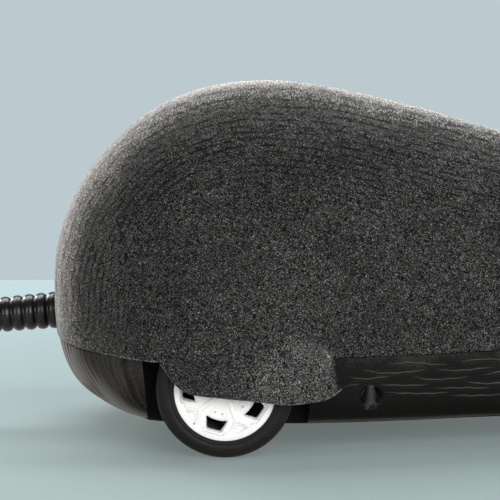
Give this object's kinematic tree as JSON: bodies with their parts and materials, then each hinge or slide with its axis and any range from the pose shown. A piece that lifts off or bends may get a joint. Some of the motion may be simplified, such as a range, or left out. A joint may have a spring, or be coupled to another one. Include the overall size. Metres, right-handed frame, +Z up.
{
  "type": "robotic mouse cat toy",
  "caption": "Self-driving mouse toy: flocked arched shell over a black chassis, two driven rear wheels, swivel caster, ribbed rubber tail.",
  "frame": {"origin": "on the floor, under the middle of the whole toy's box, tail and nose included", "axes": "+X towards the nose, +Y to the toy's left, +Z up"},
  "size_m": [0.3618, 0.0836, 0.0695],
  "materials": {
    "flocked_abs": "electrostatic flock over moulded ABS, charcoal",
    "black_abs": "moulded ABS with fine hair lines, satin black",
    "inner_abs": "plain moulded ABS, dark grey",
    "white_abs": "gloss white moulded ABS",
    "tyre_rubber": "smooth moulded rubber",
    "tail_rubber": "glossy ribbed moulded rubber",
    "ear_pvc": "soft moulded PVC, dark grey",
    "bead_black": "polished black acrylic bead",
    "nylon": "drawn nylon bristle",
    "acetal": "natural acetal, moulded",
    "steel": "bright steel",
    "brass": "hobbed brass",
    "cell_sleeve": "plain shrink sleeve over a steel can",
    "laminate": "green glass-epoxy laminate",
    "epoxy": "moulded epoxy"
  },
  "bodies": {
    "chassis": {"upper_shell": "flocked_abs", "chassis_tub": "black_abs", "tail": "tail_rubber", "nose": "bead_black", "gear_pin_right": "steel", "motor_right": "steel", "axle_bush_right": "acetal", "gearbox_bracket_right": "inner_abs", "ear_right": "ear_pvc", "eye_right": "bead_black", "whiskers_right": "nylon", "gear_pin_left": "steel", "motor_left": "steel", "axle_bush_left": "acetal", "gearbox_bracket_left": "inner_abs", "ear_left": "ear_pvc", "eye_left": "bead_black", "whiskers_left": "nylon", "shell_screw_rear_right": "steel", "shell_screw_rear_left": "steel", "shell_screw_front_right": "steel", "shell_screw_front_left": "steel", "battery_1": "cell_sleeve", "battery_2": "cell_sleeve", "battery_3": "cell_sleeve", "contact_rear_link": "steel", "contact_rear_end": "steel", "contact_front_link": "steel", "contact_front_end": "steel", "switch_body": "inner_abs", "circuit_board": "laminate", "control_chip": "epoxy"},
    "wheel_right": {"rim_right": "white_abs", "tyre_right": "tyre_rubber", "axle_right": "steel", "final_gear_right": "acetal"},
    "compound_right": {"compound_gear_right": "acetal"},
    "rotor_right": {"motor_pinion_right": "brass", "motor_shaft_right": "steel"},
    "wheel_left": {"rim_left": "white_abs", "tyre_left": "tyre_rubber", "axle_left": "steel", "final_gear_left": "acetal"},
    "compound_left": {"compound_gear_left": "acetal"},
    "rotor_left": {"motor_pinion_left": "brass", "motor_shaft_left": "steel"},
    "caster_swivel": {"caster_fork": "inner_abs", "caster_pin": "steel"},
    "caster_roller": {"caster_wheel": "acetal"},
    "battery_cover": {"battery_door": "black_abs", "battery_door_screw": "steel"},
    "switch_lever": {"switch_slider": "acetal"}
  },
  "joints": [
    {"name": "right_wheel_spin", "type": "hinge", "parent": "chassis", "child": "wheel_right", "pos_m": [0.00367, -0.03325, 0.0135], "axis": [0, 1, 0], "continuous": true},
    {"name": "right_compound_spin", "type": "hinge", "parent": "chassis", "child": "compound_right", "pos_m": [0.01155, -0.0219, 0.01489], "axis": [0, 1, 0], "continuous": true},
    {"name": "right_motor_spin", "type": "hinge", "parent": "chassis", "child": "rotor_right", "pos_m": [0.02002, -0.0219, 0.01563], "axis": [0, 1, 0], "continuous": true},
    {"name": "left_wheel_spin", "type": "hinge", "parent": "chassis", "child": "wheel_left", "pos_m": [0.00367, 0.03325, 0.0135], "axis": [0, 1, 0], "continuous": true},
    {"name": "left_compound_spin", "type": "hinge", "parent": "chassis", "child": "compound_left", "pos_m": [0.01155, 0.0219, 0.01489], "axis": [0, 1, 0], "continuous": true},
    {"name": "left_motor_spin", "type": "hinge", "parent": "chassis", "child": "rotor_left", "pos_m": [0.02002, 0.0219, 0.01563], "axis": [0, 1, 0], "continuous": true},
    {"name": "caster_swivel", "type": "hinge", "parent": "chassis", "child": "caster_swivel", "pos_m": [0.1257, 0, 0.014], "axis": [0, 0, 1], "continuous": true},
    {"name": "caster_wheel_spin", "type": "hinge", "parent": "caster_swivel", "child": "caster_roller", "pos_m": [0.1227, 0, 0.0045], "axis": [0, 1, 0], "continuous": true},
    {"name": "battery_door_tilt", "type": "hinge", "parent": "chassis", "child": "battery_cover", "pos_m": [0.03307, 0, 0.0068], "axis": [0, 1, 0], "range_deg": [0, 4]},
    {"name": "power_switch_slide", "type": "slide", "parent": "chassis", "child": "switch_lever", "axis": [1, 0, 0], "range_m": [0, 0.0025]}
  ],
  "couplings": [
    {"joint": "right_compound_spin", "follows": "right_wheel_spin", "ratio": -2.2},
    {"joint": "right_motor_spin", "follows": "right_wheel_spin", "ratio": 5.28},
    {"joint": "left_compound_spin", "follows": "left_wheel_spin", "ratio": -2.2},
    {"joint": "left_motor_spin", "follows": "left_wheel_spin", "ratio": 5.28}
  ]
}
